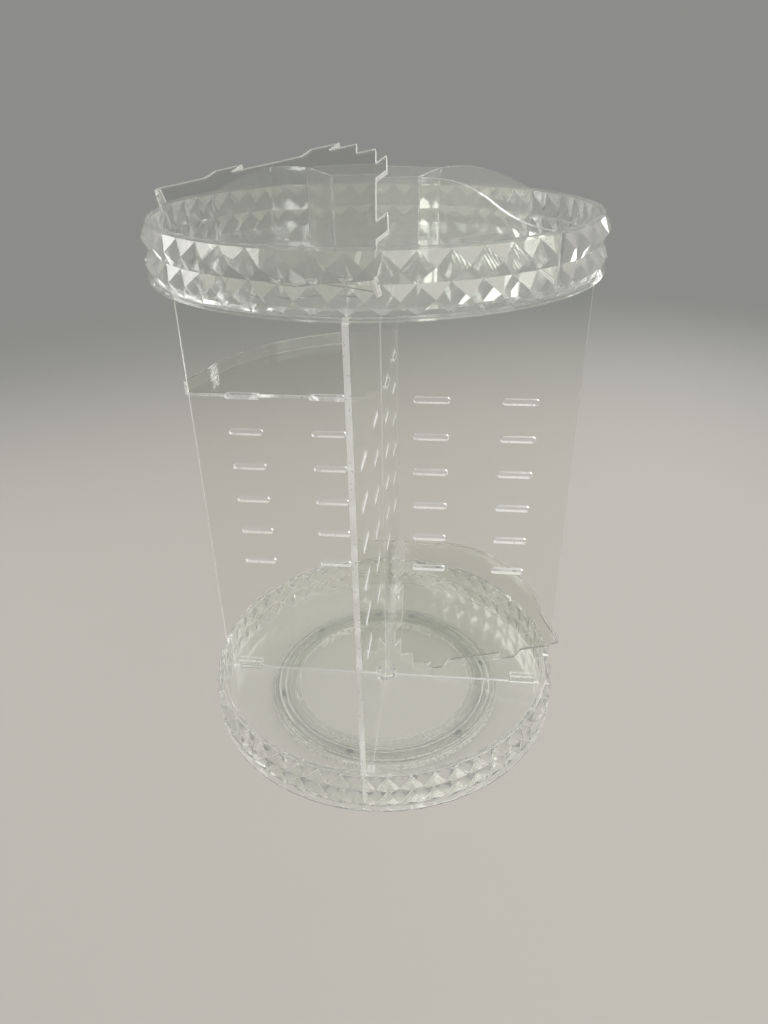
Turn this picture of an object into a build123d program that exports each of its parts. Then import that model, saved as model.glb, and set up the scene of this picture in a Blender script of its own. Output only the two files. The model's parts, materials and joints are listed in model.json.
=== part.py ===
"""Rotating bathroom organizer in clear moulded plastic, in millimetres, +Z up.

The origin is on the table under the axis of rotation. X runs along the main panel and
Y along the cross panel. A faceted base tray turns on a ball race. Two slotted panels
cross in a half lap, quarter shelves hook into their slots, and a faceted top tray with a
brush well sits on the panels.
"""
from build123d import *
import os
from math import atan2, cos, degrees, hypot, radians, sin, sqrt

# Faceted rim that both trays share
RIM_CELLS = 52            # pyramids in one row
RIM_ROWS = 2
ROW_HEIGHT = 12.3
VALLEY_RADIUS = 112.4     # corners of the many-sided wall that the pyramids stand on
RIM_WALL = 2.8            # from those corners in to the smooth inner face
FACET_HEIGHT = 3.3        # how far a pyramid's tip stands out from its flat
FLANGE_REACH = 2.6        # plain ring below the pyramids, out past those corners
FLANGE_HEIGHT = 1.6
LIP_HEIGHT = 1.0          # plain band above the pyramids
RIM_OVERLAP = 0.6         # how far floors and dividers run into the rim wall

# Turntable
BASE_LIFT = 9.0           # underside of the base tray above the table
PAD_PROUD = 1.0
PAD_DIAMETER = 10.0
PAD_THICKNESS = 1.6
PAD_GAP = 0.1
PAD_COUNT = 6
BALL_COUNT = 6
BALL_DIAMETER = 4.8
BALL_HEIGHT = 5.4         # middle of the balls above the table
BALL_FIRST_ANGLE = 18.0
RACE_RADIUS = 72.0        # pitch circle of the balls
RACE_GAP = 0.25           # play between a ball and what holds it
RACE_WIDTH = 9.0          # width of the two raised race bands
FOOT_OUTWARD = 7.5        # foot ring out past the pitch circle
FOOT_INWARD = 9.0         # foot ring in from it
FOOT_PLATE = 2.4
FOOT_WALL = 1.8           # upright wall round the foot ring
FOOT_FLANGE_WIDTH = 4.0   # inner flange that the hooks catch
FOOT_FLANGE_THICKNESS = 1.3
FOOT_FLANGE_DROP = 0.1    # flange underside below the plate's upper face
TOP_RING_THICKNESS = 1.8
TOP_RING_OUTWARD = 5.2    # top ring out past the pitch circle
TOP_RING_INWARD = 11.8    # top ring in from it
CAGE_THICKNESS = 1.0
CAGE_WIDTH = 8.0
CAGE_GAP = 0.3            # cage to each race band
HOOK_COUNT = 6
HOOK_ANGLE = 26.0
HOOK_WALL = 2.0
HOOK_GAP = 0.5            # hook to the foot ring's bore
HOOK_LIP = 1.6            # how far a hook reaches out past its wall
HOOK_LIP_HEIGHT = 1.0
HOOK_PLAY = 0.4           # hook lip below the foot ring's flange

# Base tray
BASE_FLOOR = 2.6
SOCKET_INSET = 13.1       # middle of a socket in from the rim's inner face
SOCKET_LENGTH = 17.0
SOCKET_HEIGHT = 6.0
SOCKET_WALL = 1.9
SOCKET_GAP = 0.15
SOCKET_ROUND = 1.2
BOSS_RADIUS = 8.5
BOSS_HEIGHT = 5.0

# Panels
PANEL_THICKNESS = 3.0
PANEL_HEIGHT = 284.5
PANEL_RIM_GAP = 0.5       # panel foot to the inside of a rim
PANEL_OVERHANG = 2.8      # panel edge above the shoulder, out past a rim's inner face
SHOULDER_GAP = 0.5        # panel shoulder above or below a rim
LAP_BOTTOM_SLIT = 160.4   # slit in the cross panel, from its foot
LAP_TOP_SLIT_END = 145.4  # slit in the main panel comes down to here
LAP_GAP = 0.15
SLOT_ROWS = 6
SLOT_PITCH = 22.98
SLOT_TOP_ROW = 207.5      # top row above the panel's foot
SLOT_LENGTH = 20.8
SLOT_HEIGHT = 3.6
SLOT_RADII = (30.3, 80.5)  # middles of the slots from the axis

# Quarter shelf
SHELF_PROUD = 0.6         # outer arc past the corners of the rim's wall
SHELF_TIP_REACH = 4.0     # end of each straight edge past the arc
SHELF_STEP = 1.8          # the outline steps in by this before it runs out to a tip
SHELF_STEP_ANGLES = (14.0, 19.0)  # where the step starts and ends, from the panel
SHELF_ROUND = 2.0
SHELF_THICKNESS = 2.2
SHELF_RIM_HEIGHT = 9.0
SHELF_RIM_WALL = 1.8
SHELF_EDGE_GAP = 0.6      # straight edge to the panel's face
SHELF_NOTCH = 10.0        # square notch at the inner corner, from the panel faces
LUG_LENGTH = 14.4
LUG_REACH = 1.5           # lug tip past the far face of the panel
LUG_SEAT = 0.3            # lug above the bottom of its slot

# Where the loose shelves lie
LOWER_SHIFT = 11.9        # lower shelf slid out along its diagonal
LOWER_FLOOR_GAP = 0.3
LOWER_RIM_GAP = 0.3
SPARE_CORNER = (2.9, -0.9)  # where the spare shelf's straight edges would meet
SPARE_LIFT = 31.7         # that corner above the top tray's rim
SPARE_HEADING = 276.0     # plan direction of the edge that points to the front
SPARE_RISE = (0.174, 0.410)  # slope of its plate along X and Y

# Top tray
TRAY_SEAT_GAP = 0.3
TRAY_FLOOR = 2.4
TRAY_SKIRT = 2.0          # rim below the underside of the floor
TRAY_TURN = 7.5           # the tray is set down turned against the panels
DIVIDER_WALL = 2.0
WELL_FRONT_HALF = 20.5
WELL_FRONT_Y = -21.0
WELL_BACK_HALF = 34.0
WELL_BACK_Y = 21.0
WELL_HEIGHT = 38.2        # well corners above the floor
WELL_ARCH = 1.4           # rise of the back wall's top in its middle
FRONT_DIVIDER_ANGLE = -46.8  # where the front divider meets the rim
FRONT_WAVE_FLAT = 12.0    # level stretch beside the well
FRONT_WAVE_END = 3.0      # level stretch beside the rim
BACK_DIVIDER_ANGLE = 33.0
BACK_BEND = (57.0, 53.0)  # bend of a back divider, on the right
BACK_BEND_RADIUS = 9.0
DIVIDER_RIM_DROP = 0.8    # divider end below the rim's top

# Levels and sizes that follow from these
rim_inner_radius = VALLEY_RADIUS - RIM_WALL
flange_radius = VALLEY_RADIUS + FLANGE_REACH
rim_height = FLANGE_HEIGHT + RIM_ROWS * ROW_HEIGHT + LIP_HEIGHT
panel_foot = BASE_LIFT + BASE_FLOOR
panel_top = panel_foot + PANEL_HEIGHT
base_rim_top = BASE_LIFT + rim_height
tray_floor_under = panel_top + TRAY_SEAT_GAP
tray_floor_top = tray_floor_under + TRAY_FLOOR
tray_bottom = tray_floor_under - TRAY_SKIRT
tray_rim_top = tray_bottom + rim_height
panel_foot_half = rim_inner_radius - PANEL_RIM_GAP
panel_half = rim_inner_radius + PANEL_OVERHANG
slot_rows = [SLOT_TOP_ROW - row * SLOT_PITCH for row in range(SLOT_ROWS)]
race_groove_radius = BALL_DIAMETER / 2 + RACE_GAP
foot_inner_radius = RACE_RADIUS - FOOT_INWARD
foot_outer_radius = RACE_RADIUS + FOOT_OUTWARD
foot_plate_top = PAD_PROUD + FOOT_PLATE
top_ring_bottom = BASE_LIFT - TOP_RING_THICKNESS
shelf_edge = PANEL_THICKNESS / 2 + SHELF_EDGE_GAP
shelf_radius = VALLEY_RADIUS + SHELF_PROUD
shelf_tip = shelf_radius + SHELF_TIP_REACH
shelf_notch_side = PANEL_THICKNESS / 2 + SHELF_NOTCH
cage_bottom = BALL_HEIGHT - CAGE_THICKNESS / 2
lower_race_top = cage_bottom - CAGE_GAP
upper_race_bottom = cage_bottom + CAGE_THICKNESS + CAGE_GAP


def ring(inner, outer, bottom, top):
    """Flat ring round the axis."""
    profile = Pos((inner + outer) / 2, (bottom + top) / 2) * Rectangle(outer - inner, top - bottom)
    return revolve(Plane.XZ * profile, Axis.Z)


def disc(radius, bottom, top):
    return Pos(0, 0, bottom) * extrude(Circle(radius), top - bottom)


def on_circle(radius, angle, height):
    return Vector(radius * cos(radians(angle)), radius * sin(radians(angle)), height)


def faceted_rim(bottom):
    """Round wall, smooth inside, with rows of square pyramids all round the outside."""
    step = 360 / RIM_CELLS
    tip_radius = VALLEY_RADIUS * cos(radians(step / 2)) + FACET_HEIGHT
    levels = [bottom + FLANGE_HEIGHT + row * ROW_HEIGHT for row in range(RIM_ROWS + 1)]
    top = levels[-1] + LIP_HEIGHT
    faces = []
    for cell in range(RIM_CELLS):
        left, right = cell * step, (cell + 1) * step
        for low, high in zip(levels[:-1], levels[1:]):
            tip = on_circle(tip_radius, (left + right) / 2, (low + high) / 2)
            corners = [on_circle(VALLEY_RADIUS, angle, z)
                       for angle, z in ((left, low), (right, low), (right, high), (left, high))]
            for a, b in zip(corners, corners[1:] + corners[:1]):
                faces.append(Face(Wire.make_polygon([a, b, tip])))
        faces.append(Face(Wire.make_polygon([
            on_circle(VALLEY_RADIUS, left, levels[-1]), on_circle(VALLEY_RADIUS, right, levels[-1]),
            on_circle(VALLEY_RADIUS, right, top), on_circle(VALLEY_RADIUS, left, top)])))
    for z in (levels[0], top):
        outline = Wire.make_polygon([on_circle(VALLEY_RADIUS, cell * step, z)
                                     for cell in range(RIM_CELLS)])
        faces.append(Face(outline))
    core = Solid(Shell(faces))
    flange = disc(flange_radius, bottom, bottom + FLANGE_HEIGHT)
    return core + flange - disc(rim_inner_radius, bottom, top)


def slot_at(x, z):
    """Round-ended slot for a lug, in a panel that stands on the XZ plane."""
    return Pos(x, z) * SlotOverall(SLOT_LENGTH, SLOT_HEIGHT)


def panel_blank():
    """Slotted panel with its feet drawn in to stand inside the two rims."""
    low_shoulder = base_rim_top - panel_foot + SHOULDER_GAP
    high_shoulder = PANEL_HEIGHT - (TRAY_SKIRT + TRAY_SEAT_GAP) - SHOULDER_GAP
    right_side = [(panel_foot_half, 0), (panel_foot_half, low_shoulder),
                  (panel_half, low_shoulder), (panel_half, high_shoulder),
                  (panel_foot_half, high_shoulder), (panel_foot_half, PANEL_HEIGHT)]
    left_side = [(-x, z) for x, z in reversed(right_side)]
    outline = make_face(Polyline(*right_side, *left_side, close=True))
    for x in SLOT_RADII:
        for z in slot_rows:
            outline -= slot_at(x, z) + slot_at(-x, z)
    return outline


def panel(slit):
    """Solid panel on the XZ plane, foot on the base tray's floor, with its half-lap slit."""
    outline = panel_blank() - slit
    return Pos(0, 0, panel_foot) * extrude(Plane.XZ * outline, PANEL_THICKNESS / 2, both=True)


def make_main_panel():
    """Slit from the top edge down to a round end."""
    width = PANEL_THICKNESS + 2 * LAP_GAP
    length = PANEL_HEIGHT - LAP_TOP_SLIT_END
    slit = Pos(0, LAP_TOP_SLIT_END + length) * SlotOverall(2 * length, width, rotation=90)
    return panel(slit)


def make_cross_panel():
    """Slit from the foot up to a round end, turned along Y."""
    width = PANEL_THICKNESS + 2 * LAP_GAP
    slit = SlotOverall(2 * LAP_BOTTOM_SLIT, width, rotation=90)
    return Rot(0, 0, 90) * panel(slit)


def make_base_tray():
    """Faceted tray with sockets for the panels' feet and a cross-slotted boss."""
    tray = faceted_rim(BASE_LIFT)
    tray += disc(rim_inner_radius + RIM_OVERLAP, BASE_LIFT, panel_foot)
    mouth = PANEL_THICKNESS + 2 * SOCKET_GAP
    width = mouth + 2 * SOCKET_WALL
    block = extrude(RectangleRounded(SOCKET_LENGTH, width, SOCKET_ROUND), SOCKET_HEIGHT)
    for angle in range(0, 360, 90):
        tray += Rot(0, 0, angle) * Pos(rim_inner_radius - SOCKET_INSET, 0, panel_foot) * block
    tray += disc(BOSS_RADIUS, panel_foot, panel_foot + BOSS_HEIGHT)
    groove = Pos(0, 0, panel_foot) * extrude(Rectangle(2 * panel_foot_half, mouth), SOCKET_HEIGHT)
    return tray - groove - Rot(0, 0, 90) * groove


def race_groove():
    """Ring-shaped groove that the balls run in."""
    return Pos(0, 0, BALL_HEIGHT) * Torus(RACE_RADIUS, race_groove_radius)


def make_top_ring():
    """Upper race under the base tray, with hooks that hold the foot ring on."""
    inner, outer = RACE_RADIUS - TOP_RING_INWARD, RACE_RADIUS + TOP_RING_OUTWARD
    body = ring(inner, outer, top_ring_bottom, BASE_LIFT)
    band = RACE_WIDTH / 2
    body += ring(RACE_RADIUS - band, RACE_RADIUS + band, upper_race_bottom, BASE_LIFT)
    body -= race_groove()
    hook_outer = foot_inner_radius - HOOK_GAP
    flange_under = foot_plate_top - FOOT_FLANGE_DROP
    lip_top = flange_under - HOOK_PLAY
    lip_bottom = lip_top - HOOK_LIP_HEIGHT
    profile = Polyline((hook_outer - HOOK_WALL, BASE_LIFT), (hook_outer, BASE_LIFT),
                       (hook_outer, lip_top), (hook_outer + HOOK_LIP, lip_top),
                       (hook_outer, lip_bottom), (hook_outer - HOOK_WALL, lip_bottom), close=True)
    hook = revolve(Plane.XZ * make_face(profile), Axis.Z, HOOK_ANGLE)
    for index in range(HOOK_COUNT):
        body += Rot(0, 0, index * 360 / HOOK_COUNT) * hook
    return body


def pad_spots():
    """Middles of the foot pads, halfway between the balls at rest."""
    step = 360 / PAD_COUNT
    return [on_circle(RACE_RADIUS, BALL_FIRST_ANGLE + (index + 0.5) * step, 0)
            for index in range(PAD_COUNT)]


def make_foot_ring():
    """Lower race that stands on the table, with a pocket for each pad."""
    plate_inner = foot_inner_radius + FOOT_FLANGE_WIDTH
    body = ring(plate_inner, foot_outer_radius, PAD_PROUD, foot_plate_top)
    band = RACE_WIDTH / 2
    body += ring(RACE_RADIUS - band, RACE_RADIUS + band, PAD_PROUD, lower_race_top)
    flange_under = foot_plate_top - FOOT_FLANGE_DROP
    body += ring(foot_inner_radius, RACE_RADIUS - band / 2, flange_under,
                 flange_under + FOOT_FLANGE_THICKNESS)
    body += ring(foot_outer_radius - FOOT_WALL, foot_outer_radius, PAD_PROUD, upper_race_bottom)
    body -= race_groove()
    pocket = extrude(Circle(PAD_DIAMETER / 2 + PAD_GAP), PAD_THICKNESS + PAD_GAP)
    for spot in pad_spots():
        body -= Pos(*spot) * pocket
    return body


def make_foot_pads():
    pad = extrude(Circle(PAD_DIAMETER / 2), PAD_THICKNESS)
    return [Pos(*spot) * pad for spot in pad_spots()]


def ball_spots():
    step = 360 / BALL_COUNT
    return [on_circle(RACE_RADIUS, BALL_FIRST_ANGLE + index * step, BALL_HEIGHT)
            for index in range(BALL_COUNT)]


def make_ball_cage():
    """Thin ring with a round hole for each ball."""
    half = CAGE_WIDTH / 2
    cage = ring(RACE_RADIUS - half, RACE_RADIUS + half, cage_bottom, cage_bottom + CAGE_THICKNESS)
    for spot in ball_spots():
        cage -= Pos(*spot) * Cylinder(race_groove_radius, 2 * CAGE_THICKNESS)
    return cage


def make_balls():
    return [Pos(*spot) * Sphere(BALL_DIAMETER / 2) for spot in ball_spots()]


def shelf_outline():
    """Quarter of a disc between the panels; its ends step in and then run out to a tip."""
    step_start, step_end = SHELF_STEP_ANGLES
    side = [Vector(shelf_tip, shelf_edge), on_circle(shelf_radius - SHELF_STEP, step_start, 0),
            on_circle(shelf_radius, step_end, 0)]
    other_side = [Vector(point.Y, point.X) for point in reversed(side)]
    arc = ThreePointArc(side[-1], on_circle(shelf_radius, 45, 0), other_side[0])
    rest = Polyline(*other_side, (shelf_edge, shelf_edge), *side)
    outline = make_face(arc + rest)
    return fillet(outline.vertices(), SHELF_ROUND)


def lug_at(distance):
    """Lug on the X edge, slanted so that it slides in along the shelf's diagonal."""
    tip = -PANEL_THICKNESS / 2 - LUG_REACH
    root = shelf_edge + SHELF_THICKNESS
    half = LUG_LENGTH / 2
    corners = [(distance - half + tip, tip), (distance + half + tip, tip),
               (distance + half + root, root), (distance - half + root, root)]
    return make_face(Polyline(*corners, close=True))


def make_shelf():
    """Quarter shelf for the quadrant between +X and +Y, its underside on Z = 0."""
    middle = shelf_notch_side / 2
    notch = Pos(middle, middle) * Rectangle(shelf_notch_side, shelf_notch_side)
    outline = shelf_outline()
    plate = outline - notch
    diagonal = Plane(origin=(0, 0, 0), z_dir=(1, -1, 0))
    for distance in SLOT_RADII:
        lug = lug_at(distance)
        plate += lug
        plate += mirror(lug, diagonal)
    straight, band = shelf_tip - 2 * SHELF_RIM_WALL, shelf_edge + 2 * SHELF_RIM_WALL
    no_rim = Pos(straight / 2, band / 2) * Rectangle(straight, band)
    rim = outline - offset(outline, -SHELF_RIM_WALL) - no_rim - mirror(no_rim, diagonal)
    return extrude(plate, SHELF_THICKNESS) + extrude(rim, SHELF_RIM_HEIGHT)


def make_upper_shelf(shelf):
    """Hooked into the top row of slots, behind the main panel on the left."""
    seat = panel_foot + slot_rows[0] - SLOT_HEIGHT / 2 + LUG_SEAT
    return Pos(0, 0, seat) * Rot(0, 0, 90) * shelf


def lower_shelf_slope():
    """Angle at which a shelf leans from the base floor onto the rim beside the panels."""
    rise = base_rim_top + LOWER_RIM_GAP - panel_foot - LOWER_FLOOR_GAP
    inner = (shelf_edge + shelf_notch_side) / sqrt(2) + LOWER_SHIFT
    return degrees(atan2(rise, rim_inner_radius / sqrt(2) - inner))


def make_lower_shelf(shelf):
    """Lying loose in the base tray, on the right behind the main panel."""
    slope = radians(lower_shelf_slope())
    out, across = Vector(1, 1, 0).normalized(), Vector(-1, 1, 0).normalized()
    along = out * cos(slope) + Vector(0, 0, sin(slope))
    inner = (shelf_edge + shelf_notch_side) / sqrt(2)
    start = out * (LOWER_SHIFT + inner) - along * inner
    start += Vector(0, 0, panel_foot + LOWER_FLOOR_GAP)
    place = Plane(origin=start, x_dir=along - across, z_dir=along.cross(across))
    return place.location * shelf


def make_spare_shelf(shelf):
    """Upside down in the top tray on the left, propped on its rim, its well and its floor."""
    heading = radians(SPARE_HEADING)
    rise_x, rise_y = SPARE_RISE
    front = Vector(cos(heading), sin(heading), rise_x * cos(heading) + rise_y * sin(heading))
    corner = (*SPARE_CORNER, tray_rim_top + SPARE_LIFT)
    place = Plane(origin=corner, x_dir=front, z_dir=(rise_x, rise_y, -1))
    return place.location * shelf


def upright_strip(path, height):
    """Thin upright wall of even thickness along a plan path on the tray floor."""
    strip = trace(path, DIVIDER_WALL)
    return Pos(0, 0, tray_floor_top - RIM_OVERLAP) * extrude(strip, height + RIM_OVERLAP)


def rim_point(angle):
    """Point where a divider runs into the rim wall."""
    return on_circle(rim_inner_radius + RIM_OVERLAP, angle, 0)


def make_well():
    """Brush well: a back wall with an arched top and three level walls."""
    front_left, front_right = (-WELL_FRONT_HALF, WELL_FRONT_Y), (WELL_FRONT_HALF, WELL_FRONT_Y)
    back_left, back_right = (-WELL_BACK_HALF, WELL_BACK_Y), (WELL_BACK_HALF, WELL_BACK_Y)
    walls = upright_strip(Polyline(back_left, front_left, front_right, back_right), WELL_HEIGHT)
    half = WELL_BACK_HALF + DIVIDER_WALL / 2
    low, high = -RIM_OVERLAP, WELL_HEIGHT
    top = ThreePointArc((-half, high), (0, high + WELL_ARCH), (half, high))
    sides = Polyline((half, high), (half, low), (-half, low), (-half, high))
    back = extrude(Plane.XZ * make_face(top + sides), DIVIDER_WALL / 2, both=True)
    return walls + Pos(0, WELL_BACK_Y, tray_floor_top) * back


def make_front_divider():
    """Straight wall from the well's right front corner to the rim, its top an S wave."""
    start = Vector(WELL_FRONT_HALF, WELL_FRONT_Y)
    run = rim_point(FRONT_DIVIDER_ANGLE) - start
    length = hypot(run.X, run.Y)
    low, high = tray_rim_top - DIVIDER_RIM_DROP - tray_floor_top, WELL_HEIGHT
    wave_start, wave_end = (FRONT_WAVE_FLAT, high), (length - FRONT_WAVE_END, low)
    half_run = (wave_end[0] - wave_start[0]) / 2
    half_drop = (high - low) / 2
    radius = (half_run ** 2 + half_drop ** 2) / (2 * half_drop)
    middle = (wave_start[0] + half_run, low + half_drop)
    wave = RadiusArc(wave_start, middle, radius) + RadiusArc(middle, wave_end, -radius)
    rest = Polyline(wave_end, (length, low), (length, -RIM_OVERLAP), (0, -RIM_OVERLAP),
                    (0, high), wave_start)
    wall = extrude(Plane.XZ * make_face(wave + rest), DIVIDER_WALL / 2, both=True)
    return Pos(start.X, start.Y, tray_floor_top) * Rot(0, 0, degrees(atan2(run.Y, run.X))) * wall


def make_back_divider():
    """Bent wall from the well's right back corner to the rim, its top falling in one arc."""
    start = (WELL_BACK_HALF, WELL_BACK_Y)
    finish = rim_point(BACK_DIVIDER_ANGLE)
    wall = upright_strip(FilletPolyline(start, BACK_BEND, finish, radius=BACK_BEND_RADIUS),
                         WELL_HEIGHT)
    low, high = tray_rim_top - DIVIDER_RIM_DROP, tray_floor_top + WELL_HEIGHT
    fall, reach = high - low, finish.X - start[0]
    radius = (fall ** 2 + reach ** 2) / (2 * fall)
    crest = RadiusArc((start[0], high), (finish.X, low), radius)
    edge = start[0] - DIVIDER_WALL
    far = rim_inner_radius
    under = Polyline((finish.X, low), (far, low), (far, tray_floor_under), (edge, tray_floor_under),
                     (edge, high), (start[0], high))
    keep = extrude(Plane.XZ * make_face(crest + under), flange_radius, both=True)
    return wall & keep


def make_top_tray():
    """Faceted tray with a brush well and three dividers, set down on the panels."""
    tray = faceted_rim(tray_bottom)
    tray += disc(rim_inner_radius + RIM_OVERLAP, tray_floor_under, tray_floor_top)
    tray += make_well()
    tray += make_front_divider()
    back_divider = make_back_divider()
    tray += back_divider
    tray += mirror(back_divider, Plane.YZ)
    return Rot(0, 0, TRAY_TURN) * tray


def make_nodes():
    shelf = make_shelf()
    nodes = {
        "turntable_foot_ring": make_foot_ring(),
        "turntable_top_ring": make_top_ring(),
        "ball_cage": make_ball_cage(),
        "base_tray": make_base_tray(),
        "main_panel": make_main_panel(),
        "cross_panel": make_cross_panel(),
        "upper_shelf": make_upper_shelf(shelf),
        "lower_shelf": make_lower_shelf(shelf),
        "top_tray": make_top_tray(),
        "spare_shelf": make_spare_shelf(shelf),
    }
    for number, ball in enumerate(make_balls(), 1):
        nodes[f"ball_{number}"] = ball
    for number, pad in enumerate(make_foot_pads(), 1):
        nodes[f"foot_pad_{number}"] = pad
    return nodes


os.makedirs("parts", exist_ok=True)
for name, solid in make_nodes().items():
    export_step(solid, f"parts/{name}.step")
    print(name, round(solid.volume, 1), [round(v, 2) for v in solid.bounding_box().size])
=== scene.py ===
"""Looks of the rotating organizer: clear moulded plastic, steel balls and a pale studio."""
import json
from math import pi, radians

import bmesh
import bpy
from mathutils import Matrix, Vector

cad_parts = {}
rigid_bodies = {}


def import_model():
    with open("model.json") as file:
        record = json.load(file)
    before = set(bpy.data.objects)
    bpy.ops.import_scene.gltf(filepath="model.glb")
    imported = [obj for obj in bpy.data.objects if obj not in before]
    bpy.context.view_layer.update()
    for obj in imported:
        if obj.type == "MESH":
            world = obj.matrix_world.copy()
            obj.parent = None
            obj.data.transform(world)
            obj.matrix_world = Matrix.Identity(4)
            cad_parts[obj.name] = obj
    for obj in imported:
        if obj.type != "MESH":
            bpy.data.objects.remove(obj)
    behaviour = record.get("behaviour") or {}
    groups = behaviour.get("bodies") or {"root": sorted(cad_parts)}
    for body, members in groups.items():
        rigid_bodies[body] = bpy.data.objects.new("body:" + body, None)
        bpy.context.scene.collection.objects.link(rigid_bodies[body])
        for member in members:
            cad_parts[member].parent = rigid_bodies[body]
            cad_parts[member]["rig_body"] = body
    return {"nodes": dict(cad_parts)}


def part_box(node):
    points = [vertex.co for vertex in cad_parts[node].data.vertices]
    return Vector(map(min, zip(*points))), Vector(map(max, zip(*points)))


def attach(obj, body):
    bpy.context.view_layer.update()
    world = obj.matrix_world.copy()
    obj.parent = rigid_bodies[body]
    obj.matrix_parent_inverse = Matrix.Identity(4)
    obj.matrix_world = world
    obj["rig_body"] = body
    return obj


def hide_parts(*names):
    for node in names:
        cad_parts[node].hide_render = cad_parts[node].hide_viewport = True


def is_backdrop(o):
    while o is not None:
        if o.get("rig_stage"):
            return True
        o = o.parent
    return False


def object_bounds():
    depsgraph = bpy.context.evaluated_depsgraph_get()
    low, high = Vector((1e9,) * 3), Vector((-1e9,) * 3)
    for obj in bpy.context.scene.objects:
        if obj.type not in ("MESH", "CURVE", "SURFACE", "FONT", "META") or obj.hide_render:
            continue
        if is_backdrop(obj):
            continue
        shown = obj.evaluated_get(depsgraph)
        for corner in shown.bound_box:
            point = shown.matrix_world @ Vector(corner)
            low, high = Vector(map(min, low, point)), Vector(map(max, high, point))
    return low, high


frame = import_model()
cad_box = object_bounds()

bl_info = {
    "name": "Rotating organizer looks",
    "version": (1, 0, 0),
    "blender": (4, 5, 0),
    "location": "View3D > Sidebar > Organizer",
    "description": "Finishes, eased edges and a pale studio for a clear rotating organizer",
    "category": "Object",
}

MM = 0.001
TRAYS = ("base_tray", "top_tray")
PANELS = ("main_panel", "cross_panel")
SHELVES = ("upper_shelf", "lower_shelf", "spare_shelf")
RINGS = ("turntable_foot_ring", "turntable_top_ring", "ball_cage")
BALLS = [name for name in frame["nodes"] if name.startswith("ball_") and name != "ball_cage"]
PADS = [name for name in frame["nodes"] if name.startswith("foot_pad_")]

MERGE_DISTANCE = 0.01 * MM    # corners of a CAD mesh this near to each other are one
FLAT_ANGLE = radians(0.3)     # faces that turn by less than this are one face
EASED_ANGLE = radians(25)     # outer edges that turn by more than this are eased
EASED_STEPS = 2               # narrow faces across an eased edge
VALLEY_ANGLE = radians(-20)   # valleys deeper than this keep a crisp line
CORNER_ANGLE = radians(50)    # corners tighter than this keep a crisp line
SEAT_TOLERANCE = 0.002 * MM   # how level the points of a seat are
SIDE_SLOPE = 0.5              # a side of a plate leans less than this towards its face
UPRIGHT_SLOPE = 0.1           # an upright wall leans less than this
TOP_SLOPE = 0.6               # the top of a wall faces up by more than this
STRAIGHT = 0.996              # how nearly a side of a plate runs along its straight edges
TIP_DEPTH = 1.5 * MM          # sides of a plate this near to where it ends are its tips
FLOOR_CLEARANCE = 2 * MM      # tops of walls are at least this far above a tray's floor
RIM_DEPTH = 5.5 * MM          # the faceted rim, from its outermost edge in to its smooth wall
BOSS_SPAN = 10 * MM           # radius that takes in the boss at the middle of the base

POLYSTYRENE_IOR = 1.57
POLYPROPYLENE_IOR = 1.49
VINYL_IOR = 1.5
WAVE_PERIOD = 2 * pi / 20     # period of a wave texture whose scale is 1

LIGHT_PATH_BOUNCES = 32       # light runs a long way inside a clear plate before it leaves
FLOOR_RADIUS = 6.0
FLOOR_SIDES = 96
FLOOR_DROP = 0.1 * MM         # floor below the feet, so that the two don't flicker
FLOOR_FADE = (0.25, 1.3)      # where the floor starts to turn into the backdrop, and has done so
SKY_BLEND = (0.12, 0.9)       # how steeply up the sky starts to darken, and has done so
SENSOR_WIDTH = 36.0
CLIP_START = 0.01
LAMPS = (                     # name, place, width, height, share of the key lamp's power
    ("key_softbox", (0.85, -0.75, 1.15), 1.5, 1.5, 1.0),
    ("left_strip", (-1.0, 0.1, 0.75), 0.5, 1.2, 0.5),
    ("back_strip", (0.55, 0.95, 0.8), 0.5, 1.1, 0.5),
    ("glint_lamp", (0.41, -0.76, 0.96), 0.14, 0.14, 0.15),
)


# Settings that a user would change


class ORGANIZER_PG_finish(bpy.types.PropertyGroup):
    """Colours, gloss and edges of the pieces."""

    tray_colour: bpy.props.StringProperty(
        name="Tray colour", description="sRGB hex tint of the faceted trays", default="#F6F7F3")
    panel_colour: bpy.props.StringProperty(
        name="Panel colour", description="sRGB hex tint of the panels and shelves",
        default="#F8F9F6")
    # Pale colour that paints highlight lines on plate edges, facet ridges, wall tops and ring
    # walls.
    painted_highlight_colour: bpy.props.StringProperty(
        name="Edge colour", description="sRGB hex colour of satin edges and ridges",
        default="#F4F3EE")
    ring_colour: bpy.props.StringProperty(
        name="Ring colour", description="sRGB hex tint of the turntable rings", default="#F0F0EC")
    # Darker than real steel: painted reflection of dark surroundings in the balls.
    ball_colour: bpy.props.StringProperty(
        name="Ball colour", description="sRGB hex colour of the steel balls", default="#84868A")
    pad_colour: bpy.props.StringProperty(
        name="Pad colour", description="sRGB hex colour of the soft feet", default="#DDDDD6")
    edge_round: bpy.props.FloatProperty(
        name="Edge rounding", description="How far a moulded edge is eased",
        default=0.25 * MM, min=0.05 * MM, max=0.6 * MM, precision=5, unit="LENGTH")
    facet_round: bpy.props.FloatProperty(
        name="Facet rounding", description="How far a ridge between two facets is eased",
        default=0.2 * MM, min=0.05 * MM, max=0.4 * MM, precision=5, unit="LENGTH")
    edge_depth: bpy.props.FloatProperty(
        name="Edge depth",
        description="Faces round a plate that are no deeper than this are its edge",
        default=3.2 * MM, min=1.0 * MM, max=6.0 * MM, precision=5, unit="LENGTH")
    seat_gap: bpy.props.FloatProperty(
        name="Seat gap", description="Air left between two clear faces that touch",
        default=0.04 * MM, min=0.01 * MM, max=0.1 * MM, precision=5, unit="LENGTH")


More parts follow.
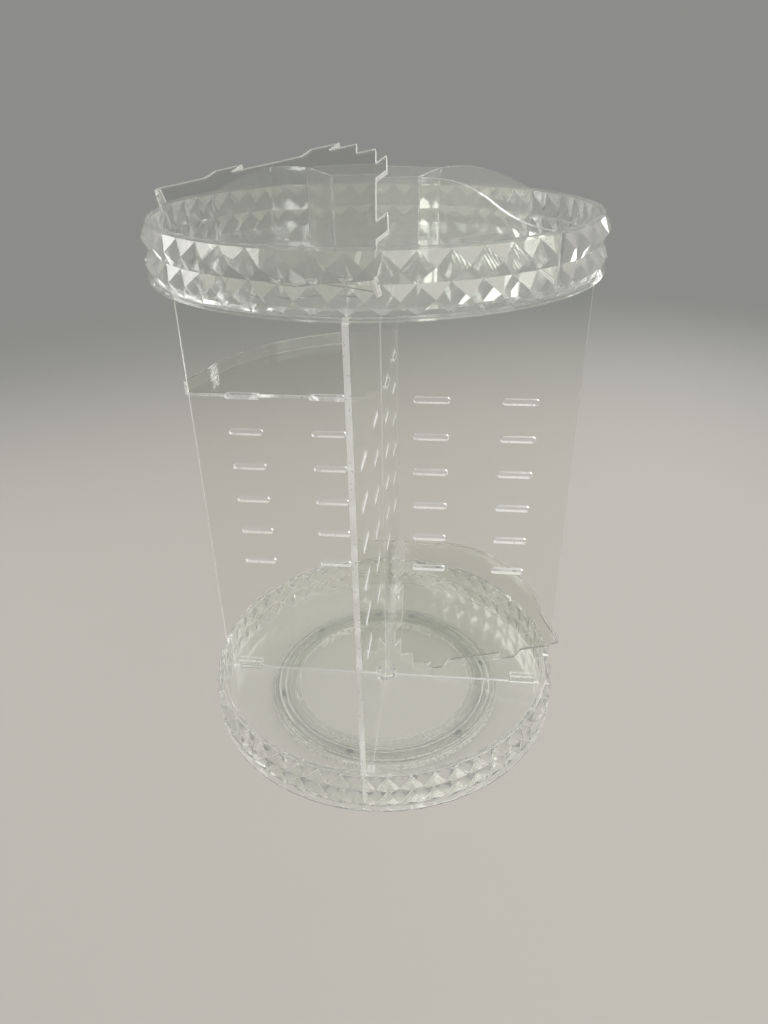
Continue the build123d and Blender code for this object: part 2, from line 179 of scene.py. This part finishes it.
class ORGANIZER_PG_stage(bpy.types.PropertyGroup):
    """Floor, lamps and camera."""

    floor_colour: bpy.props.StringProperty(
        name="Floor colour", description="sRGB hex colour of the floor", default="#C6C2BA")
    sky_colour: bpy.props.StringProperty(
        name="Backdrop colour", description="sRGB hex colour at the horizon", default="#8C8D8A")
    zenith_colour: bpy.props.StringProperty(
        name="Overhead colour", description="sRGB hex colour straight above", default="#6C6C6C")
    key_power: bpy.props.FloatProperty(
        name="Key lamp", description="Power of the large soft lamp",
        default=12.5, min=0.0, unit="POWER")
    camera_place: bpy.props.FloatVectorProperty(
        name="Camera place", description="Where the camera stands",
        default=(0.04535, -0.39481, 0.37258), precision=4, subtype="TRANSLATION", unit="LENGTH")
    camera_heading: bpy.props.FloatProperty(
        name="Camera heading", description="Turn of the camera about the vertical",
        default=0.110, subtype="ANGLE")
    camera_pitch: bpy.props.FloatProperty(
        name="Camera pitch", description="How far the camera looks down",
        default=0.522, subtype="ANGLE")
    camera_roll: bpy.props.FloatProperty(
        name="Camera roll", description="Turn of the camera about its line of sight",
        default=-0.017, subtype="ANGLE")
    camera_lens: bpy.props.FloatProperty(
        name="Focal length", description="Focal length in millimetres on a 36 mm sensor",
        default=25.8, min=1.0, subtype="DISTANCE_CAMERA")


# Materials


def linear(hex_colour):
    """Linear RGBA from an sRGB hex value."""
    parts = [int(hex_colour[i:i + 2], 16) / 255 for i in (1, 3, 5)]
    return (*[c / 12.92 if c <= 0.04045 else ((c + 0.055) / 1.055) ** 2.4 for c in parts], 1.0)


def add_node(tree, kind, inputs=(), **settings):
    """Adds a node with its settings, and sets or links its inputs."""
    node = tree.nodes.new(kind)
    for name, value in settings.items():
        setattr(node, name, value)
    for socket, value in dict(inputs).items():
        if isinstance(value, bpy.types.NodeSocket):
            tree.links.new(value, node.inputs[socket])
        else:
            node.inputs[socket].default_value = value
    return node


def new_material(name):
    """Empty material, and the tree and object coordinates that it starts from."""
    material = bpy.data.materials.new(name)
    material.use_nodes = True
    tree = material.node_tree
    tree.nodes.clear()
    return material, tree, add_node(tree, "ShaderNodeTexCoord").outputs["Object"]


def show(tree, shader):
    """Ends a material in this shader."""
    add_node(tree, "ShaderNodeOutputMaterial", {"Surface": shader.outputs["BSDF"]})


def clear_tray_plastic(finish):
    """Clear polystyrene, injection moulded: bright gloss, faint flow ripples, smears from hands."""
    material, tree, place = new_material("clear_polystyrene_moulded")
    smears = add_node(tree, "ShaderNodeTexNoise", {
        "Vector": place, "Scale": 1 / (22 * MM), "Detail": 4.0})
    haze = add_node(tree, "ShaderNodeMapRange", {
        "Value": smears.outputs["Fac"],
        "From Min": 0.42, "From Max": 0.75, "To Min": 0.012, "To Max": 0.07})
    ripple = add_node(tree, "ShaderNodeTexNoise", {
        "Vector": place, "Scale": 1 / (9 * MM), "Detail": 1.0})
    bump = add_node(tree, "ShaderNodeBump", {
        "Height": ripple.outputs["Fac"], "Strength": 0.25, "Distance": 0.05 * MM})
    show(tree, add_node(tree, "ShaderNodeBsdfPrincipled", {
        "Base Color": linear(finish.tray_colour), "Roughness": haze.outputs["Result"],
        "IOR": POLYSTYRENE_IOR, "Transmission Weight": 0.92, "Normal": bump.outputs["Normal"]}))
    return material


def clear_panel_plastic(finish):
    """Clear polystyrene plate: mirror gloss, faint smears, a slow ripple and satin eased edges."""
    material, tree, place = new_material("clear_polystyrene_plate")
    smears = add_node(tree, "ShaderNodeTexNoise", {
        "Vector": place, "Scale": 1 / (40 * MM), "Detail": 5.0})
    haze = add_node(tree, "ShaderNodeMapRange", {
        "Value": smears.outputs["Fac"],
        "From Min": 0.45, "From Max": 0.8, "To Min": 0.008, "To Max": 0.06})
    worn = add_node(tree, "ShaderNodeAttribute", attribute_name="eased")
    satin = add_node(tree, "ShaderNodeMath", {
        0: worn.outputs["Fac"], 1: 0.15, 2: haze.outputs["Result"]}, operation="MULTIPLY_ADD")
    ripple = add_node(tree, "ShaderNodeTexNoise", {
        "Vector": place, "Scale": 1 / (35 * MM), "Detail": 1.0})
    bump = add_node(tree, "ShaderNodeBump", {
        "Height": ripple.outputs["Fac"], "Strength": 0.2, "Distance": 0.06 * MM})
    show(tree, add_node(tree, "ShaderNodeBsdfPrincipled", {
        "Base Color": linear(finish.panel_colour), "Roughness": satin.outputs["Value"],
        "IOR": POLYSTYRENE_IOR, "Transmission Weight": 1.0, "Normal": bump.outputs["Normal"]}))
    return material


def plate_edge_highlight_plastic(finish):
    """Edge of a clear plate, satin and pale as a painted highlight line, a little uneven along it.
    """
    material, tree, place = new_material("clear_polystyrene_edge_painted_highlight")
    grain = add_node(tree, "ShaderNodeTexNoise", {
        "Vector": place, "Scale": 1 / (1.5 * MM), "Detail": 3.0})
    haze = add_node(tree, "ShaderNodeMapRange", {
        "Value": grain.outputs["Fac"],
        "From Min": 0.3, "From Max": 0.7, "To Min": 0.26, "To Max": 0.36})
    # Half diffuse and pale: a painted highlight along the edge.
    show(tree, add_node(tree, "ShaderNodeBsdfPrincipled", {
        "Base Color": linear(finish.painted_highlight_colour), "Roughness": haze.outputs["Result"],
        "IOR": POLYSTYRENE_IOR, "Transmission Weight": 0.5}))
    return material


def facet_ridge_highlight_plastic(finish):
    """Ridges between the facets and the wall tops, satin and pale: painted highlight lines."""
    material, tree, place = new_material("clear_polystyrene_ridge_painted_highlight")
    ridge_grain = add_node(tree, "ShaderNodeTexNoise", {
        "Vector": place, "Scale": 1 / (5 * MM), "Detail": 3.0})
    haze = add_node(tree, "ShaderNodeMapRange", {
        "Value": ridge_grain.outputs["Fac"],
        "From Min": 0.3, "From Max": 0.7, "To Min": 0.15, "To Max": 0.35})
    # Partly diffuse and pale: painted highlight lines on the ridges.
    show(tree, add_node(tree, "ShaderNodeBsdfPrincipled", {
        "Base Color": linear(finish.painted_highlight_colour), "Roughness": haze.outputs["Result"],
        "IOR": POLYSTYRENE_IOR, "Transmission Weight": 0.45}))
    return material


def hazy_ring_plastic(finish):
    """Natural polypropylene, moulded: see-through with a trace of milk, and faint turned rings."""
    material, tree, place = new_material("hazy_polypropylene_moulded")
    rings = add_node(tree, "ShaderNodeTexWave", {
        "Vector": place, "Scale": WAVE_PERIOD / (4 * MM), "Distortion": 0.3, "Detail": 2.0},
        wave_type="RINGS", rings_direction="Z")
    haze = add_node(tree, "ShaderNodeMapRange", {
        "Value": rings.outputs["Fac"], "To Min": 0.01, "To Max": 0.04})
    bump = add_node(tree, "ShaderNodeBump", {
        "Height": rings.outputs["Fac"], "Strength": 0.02, "Distance": 0.04 * MM})
    show(tree, add_node(tree, "ShaderNodeBsdfPrincipled", {
        "Base Color": linear(finish.ring_colour), "Roughness": haze.outputs["Result"],
        "IOR": POLYPROPYLENE_IOR, "Transmission Weight": 0.93, "Normal": bump.outputs["Normal"]}))
    return material


def ring_wall_highlight_plastic(finish):
    """Upright walls and ridges of the rings, satin and whiter than the flats: painted highlight
    lines.
    """
    material, tree, place = new_material("hazy_polypropylene_wall_painted_highlight")
    wall_grain = add_node(tree, "ShaderNodeTexNoise", {
        "Vector": place, "Scale": 1 / (2 * MM), "Detail": 2.0})
    haze = add_node(tree, "ShaderNodeMapRange", {
        "Value": wall_grain.outputs["Fac"],
        "From Min": 0.3, "From Max": 0.7, "To Min": 0.2, "To Max": 0.4})
    # Mostly diffuse and pale: painted highlight lines on the ring walls.
    show(tree, add_node(tree, "ShaderNodeBsdfPrincipled", {
        "Base Color": linear(finish.painted_highlight_colour), "Roughness": haze.outputs["Result"],
        "IOR": POLYPROPYLENE_IOR, "Transmission Weight": 0.4}))
    return material


def plate_materials(finish):
    """Face and edge of the panels and shelves, made once; the edge paints a pale highlight line."""
    made = bpy.data.materials
    return (made.get("clear_polystyrene_plate") or clear_panel_plastic(finish),
            made.get("clear_polystyrene_edge_painted_highlight") or plate_edge_highlight_plastic(finish))


def polished_steel(finish):
    """Bearing steel, ground and polished: a mirror darkened to paint dark reflections, dulled here
    and there by grease.
    """
    material, tree, place = new_material("bearing_steel_polished")
    film = add_node(tree, "ShaderNodeTexNoise", {
        "Vector": place, "Scale": 1 / (1.5 * MM), "Detail": 3.0})
    haze = add_node(tree, "ShaderNodeMapRange", {
        "Value": film.outputs["Fac"],
        "From Min": 0.35, "From Max": 0.7, "To Min": 0.06, "To Max": 0.2})
    # Darkened base colour: painted reflection of dark surroundings.
    show(tree, add_node(tree, "ShaderNodeBsdfPrincipled", {
        "Base Color": linear(finish.ball_colour), "Metallic": 1.0,
        "Roughness": haze.outputs["Result"]}))
    return material


def soft_foot_rubber(finish):
    """Milky soft vinyl, die cut: matte, a little see-through, with a fine grain."""
    material, tree, place = new_material("milky_vinyl_die_cut")
    grain = add_node(tree, "ShaderNodeTexNoise", {
        "Vector": place, "Scale": 1 / (0.8 * MM), "Detail": 2.0})
    haze = add_node(tree, "ShaderNodeMapRange", {
        "Value": grain.outputs["Fac"], "To Min": 0.42, "To Max": 0.62})
    bump = add_node(tree, "ShaderNodeBump", {
        "Height": grain.outputs["Fac"], "Strength": 0.4, "Distance": 0.05 * MM})
    show(tree, add_node(tree, "ShaderNodeBsdfPrincipled", {
        "Base Color": linear(finish.pad_colour), "Roughness": haze.outputs["Result"],
        "IOR": VINYL_IOR, "Transmission Weight": 0.35, "Normal": bump.outputs["Normal"]}))
    return material


# Meshes


def sharp_edges(form, least):
    """Edges where two faces meet at more than that angle on the outside of the piece."""
    return [edge for edge in form.edges
            if edge.is_manifold and edge.calc_face_angle_signed() > least]


def keep_crisp(form):
    """Valleys and tight corners stay sharp, so that each facet is shaded flat."""
    for edge in form.edges:
        if edge.is_manifold:
            turn = edge.calc_face_angle_signed()
            edge.smooth = VALLEY_ANGLE < turn < CORNER_ANGLE


def plate_edges(form):
    """Faces round a plate and in its slots, and the ends of a shelf's wall, which take painted
    highlight lines.
    """
    across = max(form.faces, key=lambda face: face.calc_area()).normal.copy()
    sides = [face for face in form.faces if abs(face.normal.dot(across)) < SIDE_SLOPE]
    along = max(sides, key=lambda face: face.calc_perimeter()).normal.copy()
    beside = along.cross(across)
    reach = [(way, max(vertex.co.dot(way) for vertex in form.verts))
             for way in (along, -along, beside, -beside)]
    depth = bpy.context.scene.organizer_finish.edge_depth
    for face in sides:
        levels = [vertex.co.dot(across) for vertex in face.verts]
        straight = max(abs(face.normal.dot(along)), abs(face.normal.dot(beside))) > STRAIGHT
        tip = any(face.calc_center_median().dot(way) > far - TIP_DEPTH for way, far in reach)
        if max(levels) - min(levels) < depth or straight or tip:
            yield face


def wall_tops(form):
    """Narrow tops of a tray's dividers, well and sockets, which take painted highlight lines."""
    up = [face for face in form.faces if face.normal.z > TOP_SLOPE]
    floor = max(up, key=lambda face: face.calc_area()).calc_center_median().z
    rim = max(vertex.co.xy.length for vertex in form.verts) - RIM_DEPTH
    for face in up:
        farthest = max(vertex.co.xy.length for vertex in face.verts)
        if face.calc_center_median().z > floor + FLOOR_CLEARANCE and BOSS_SPAN < farthest < rim:
            yield face


def ring_walls(form):
    """Upright walls of a turntable ring, which take painted highlight lines."""
    return [face for face in form.faces if abs(face.normal.z) < UPRIGHT_SLOPE]


def eased_copy(node, rounding, pale=None, ridges=False, touching=None, shift=0.0):
    """Copy of a node with its outer edges eased, standing for that node and riding on its body.

    The faces that pale picks, and the eased ridges if asked for, take the second material.
    Points that touch a neighbour at one level are shifted, to leave air between clear faces.
    """
    source = frame["nodes"][node]
    mesh = source.data.copy()
    form = bmesh.new()
    form.from_mesh(mesh)
    bmesh.ops.remove_doubles(form, verts=form.verts, dist=MERGE_DISTANCE)
    bmesh.ops.dissolve_limit(form, verts=form.verts, edges=form.edges, angle_limit=FLAT_ANGLE)
    if touching is not None:
        level = [v for v in form.verts if abs(v.co.z - touching) < SEAT_TOLERANCE]
        bmesh.ops.translate(form, verts=level, vec=Vector((0, 0, shift)))
    # The second material paints pale highlight lines on the faces it takes.
    if pale:
        for face in pale(form):
            face.material_index = 1
    worn = form.faces.layers.float.new("eased")
    made = bmesh.ops.bevel(form, geom=sharp_edges(form, EASED_ANGLE), offset=rounding,
                           offset_type="OFFSET", affect="EDGES", segments=EASED_STEPS, profile=0.5,
                           material=-1, clamp_overlap=True)
    for face in made["faces"]:
        face[worn] = 1.0
        if ridges:
            face.material_index = 1
    for face in form.faces:
        face.smooth = True
    keep_crisp(form)
    form.to_mesh(mesh)
    form.free()
    piece = bpy.data.objects.new(f"{node}_eased", mesh)
    bpy.context.scene.collection.objects.link(piece)
    piece.modifiers.new("Even shading", "WEIGHTED_NORMAL").keep_sharp = True
    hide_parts(node)
    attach(piece, source["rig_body"])
    return piece


def pass_light(piece):
    """A clear piece dims the lamps hardly at all, so it casts no shadow of its own."""
    piece.visible_shadow = piece.visible_diffuse = False


def dress(piece, slot, *materials):
    """Puts the materials in the piece's slots, in order. The slot argument is not used."""
    places = piece.data.materials
    for index, material in enumerate(materials):
        if index < len(places):
            places[index] = material
        else:
            places.append(material)


# Operators, one for each group of like pieces


class ORGANIZER_OT_trays(bpy.types.Operator):
    """Ease the edges of the two faceted trays and make them clear polystyrene"""

    bl_idname = "organizer.trays"
    bl_label = "Faceted trays"

    def execute(self, context):
        finish = context.scene.organizer_finish
        # The second material paints highlight lines on the ridges and wall tops.
        materials = clear_tray_plastic(finish), facet_ridge_highlight_plastic(finish)
        for node in TRAYS:
            piece = eased_copy(node, finish.facet_round, wall_tops, ridges=True)
            dress(piece, "clear_tray", *materials)
            pass_light(piece)
        return {"FINISHED"}


class ORGANIZER_OT_panels(bpy.types.Operator):
    """Ease the edges and slots of the crossed panels and make them clear plate"""

    bl_idname = "organizer.panels"
    bl_label = "Crossed panels"

    def execute(self, context):
        finish = context.scene.organizer_finish
        # The second material paints highlight lines on the plate edges.
        materials = plate_materials(finish)
        for node in PANELS:
            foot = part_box(node)[0].z
            piece = eased_copy(node, finish.edge_round, plate_edges,
                               touching=foot, shift=finish.seat_gap)
            dress(piece, "clear_panel", *materials)
            pass_light(piece)
        return {"FINISHED"}


class ORGANIZER_OT_shelves(bpy.types.Operator):
    """Ease the edges of the quarter shelves and make them clear plate"""

    bl_idname = "organizer.shelves"
    bl_label = "Quarter shelves"

    def execute(self, context):
        finish = context.scene.organizer_finish
        # The second material paints highlight lines on the plate edges.
        materials = plate_materials(finish)
        for node in SHELVES:
            piece = eased_copy(node, finish.edge_round, plate_edges)
            dress(piece, "clear_panel", *materials)
            pass_light(piece)
        return {"FINISHED"}


class ORGANIZER_OT_turntable(bpy.types.Operator):
    """Give the two race rings and the ball cage their hazy plastic"""

    bl_idname = "organizer.turntable"
    bl_label = "Turntable rings"

    def execute(self, context):
        finish = context.scene.organizer_finish
        # The second material paints highlight lines on the ring walls and ridges.
        materials = hazy_ring_plastic(finish), ring_wall_highlight_plastic(finish)
        for node in RINGS:
            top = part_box(node)[1].z
            cage = node == "ball_cage"
            piece = eased_copy(node, finish.facet_round, None if cage else ring_walls,
                               ridges=not cage, touching=top, shift=-finish.seat_gap)
            dress(piece, "frosted_ring", *materials)
            if not cage:
                pass_light(piece)
        return {"FINISHED"}


class ORGANIZER_OT_balls(bpy.types.Operator):
    """Polish the six steel balls"""

    bl_idname = "organizer.balls"
    bl_label = "Steel balls"

    def execute(self, context):
        material = polished_steel(context.scene.organizer_finish)
        for node in BALLS:
            dress(frame["nodes"][node], "steel", material)
        return {"FINISHED"}


class ORGANIZER_OT_pads(bpy.types.Operator):
    """Give the soft feet their milky vinyl"""

    bl_idname = "organizer.pads"
    bl_label = "Soft feet"

    def execute(self, context):
        finish = context.scene.organizer_finish
        material = soft_foot_rubber(finish)
        for node in PADS:
            dress(eased_copy(node, finish.edge_round), "rubber", material)
        return {"FINISHED"}


def floor_paper(stage):
    """Matte paper that fades into the backdrop far from the object."""
    material, tree, place = new_material("matte_floor_paper")
    radius = add_node(tree, "ShaderNodeVectorMath", {0: place}, operation="LENGTH")
    fade = add_node(tree, "ShaderNodeMapRange", {
        "Value": radius.outputs["Value"], "From Min": FLOOR_FADE[0], "From Max": FLOOR_FADE[1]},
        interpolation_type="SMOOTHSTEP")
    paper = add_node(tree, "ShaderNodeBsdfPrincipled", {
        "Base Color": linear(stage.floor_colour), "Roughness": 0.75})
    far = add_node(tree, "ShaderNodeEmission", {"Color": linear(stage.sky_colour)})
    mix = add_node(tree, "ShaderNodeMixShader", {
        0: fade.outputs["Result"], 1: paper.outputs["BSDF"], 2: far.outputs["Emission"]})
    add_node(tree, "ShaderNodeOutputMaterial", {"Surface": mix.outputs["Shader"]})
    return material


def add_lamp(name, place, width, height, power):
    """Soft lamp that looks at the middle of the object and isn't seen itself."""
    lamp = bpy.data.lights.new(name, "AREA")
    lamp.shape, lamp.size, lamp.size_y, lamp.energy = "RECTANGLE", width, height, power
    holder = bpy.data.objects.new(name, lamp)
    holder.location = place
    aim = Vector((0, 0, cad_box[1].z / 2)) - Vector(place)
    holder.rotation_euler = aim.to_track_quat("-Z", "Y").to_euler()
    holder.visible_camera = False
    bpy.context.scene.collection.objects.link(holder)


def make_world(stage):
    """Soft grey all round, darker overhead, so that clear facets have something to show."""
    world = bpy.data.worlds.new("pale_studio")
    world.use_nodes = True
    bpy.context.scene.world = world
    tree = world.node_tree
    tree.nodes.clear()
    direction = add_node(tree, "ShaderNodeTexCoord").outputs["Generated"]
    height = add_node(tree, "ShaderNodeSeparateXYZ", {"Vector": direction})
    blend = add_node(tree, "ShaderNodeMapRange", {
        "Value": height.outputs["Z"], "From Min": SKY_BLEND[0], "From Max": SKY_BLEND[1]},
        interpolation_type="SMOOTHSTEP")
    colour = add_node(tree, "ShaderNodeMix", {
        "Factor": blend.outputs["Result"],
        6: linear(stage.sky_colour), 7: linear(stage.zenith_colour)}, data_type="RGBA")
    sky = add_node(tree, "ShaderNodeBackground", {"Color": colour.outputs[2]})
    add_node(tree, "ShaderNodeOutputWorld", {"Surface": sky.outputs["Background"]})


class ORGANIZER_OT_stage(bpy.types.Operator):
    """Add the floor, the soft lamps, the grey backdrop and the camera"""

    bl_idname = "organizer.stage"
    bl_label = "Studio"

    def execute(self, context):
        stage = context.scene.organizer_stage
        form = bmesh.new()
        bmesh.ops.create_circle(form, cap_ends=True, radius=FLOOR_RADIUS, segments=FLOOR_SIDES)
        bmesh.ops.translate(form, verts=form.verts, vec=Vector((0, 0, -FLOOR_DROP)))
        mesh = bpy.data.meshes.new("floor")
        form.to_mesh(mesh)
        form.free()
        floor = bpy.data.objects.new("floor", mesh)
        mesh.materials.append(floor_paper(stage))
        context.scene.collection.objects.link(floor)
        floor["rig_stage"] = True
        make_world(stage)
        for name, place, width, height, share in LAMPS:
            add_lamp(name, place, width, height, stage.key_power * share)
        context.scene.view_settings.view_transform = "Standard"
        paths = context.scene.cycles
        paths.max_bounces = paths.transmission_bounces = paths.glossy_bounces = LIGHT_PATH_BOUNCES
        camera = bpy.data.cameras.new("photo_camera")
        camera.lens = stage.camera_lens
        camera.sensor_width, camera.clip_start = SENSOR_WIDTH, CLIP_START
        eye = bpy.data.objects.new("photo_camera", camera)
        eye.matrix_world = (Matrix.Translation(stage.camera_place)
                            @ Matrix.Rotation(stage.camera_heading, 4, "Z")
                            @ Matrix.Rotation(pi / 2 - stage.camera_pitch, 4, "X")
                            @ Matrix.Rotation(stage.camera_roll, 4, "Z"))
        context.scene.collection.objects.link(eye)
        context.scene.camera = eye
        return {"FINISHED"}


class ORGANIZER_PT_looks(bpy.types.Panel):
    """Settings and steps, in the sidebar of the 3D view"""

    bl_idname = "ORGANIZER_PT_looks"
    bl_label = "Rotating organizer"
    bl_space_type = "VIEW_3D"
    bl_region_type = "UI"
    bl_category = "Organizer"

    def draw(self, context):
        for settings in (context.scene.organizer_finish, context.scene.organizer_stage):
            for name in settings.__annotations__:
                self.layout.prop(settings, name)
        for step in STEPS:
            self.layout.operator(step.bl_idname)


STEPS = (ORGANIZER_OT_trays, ORGANIZER_OT_panels, ORGANIZER_OT_shelves, ORGANIZER_OT_turntable,
         ORGANIZER_OT_balls, ORGANIZER_OT_pads, ORGANIZER_OT_stage)
CLASSES = (ORGANIZER_PG_finish, ORGANIZER_PG_stage, *STEPS, ORGANIZER_PT_looks)


def register():
    for item in CLASSES:
        bpy.utils.register_class(item)
    bpy.types.Scene.organizer_finish = bpy.props.PointerProperty(type=ORGANIZER_PG_finish)
    bpy.types.Scene.organizer_stage = bpy.props.PointerProperty(type=ORGANIZER_PG_stage)


def unregister():
    del bpy.types.Scene.organizer_stage
    del bpy.types.Scene.organizer_finish
    for item in reversed(CLASSES):
        bpy.utils.unregister_class(item)


def main():
    """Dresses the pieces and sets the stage."""
    register()
    bpy.ops.organizer.trays()
    bpy.ops.organizer.panels()
    bpy.ops.organizer.shelves()
    bpy.ops.organizer.turntable()
    bpy.ops.organizer.balls()
    bpy.ops.organizer.pads()
    bpy.ops.organizer.stage()
    boxes = {"cad": cad_box, "visual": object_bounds()}
    {name: [list(corner) for corner in box] for name, box in boxes.items()}


if __name__ == "__main__":
    main()
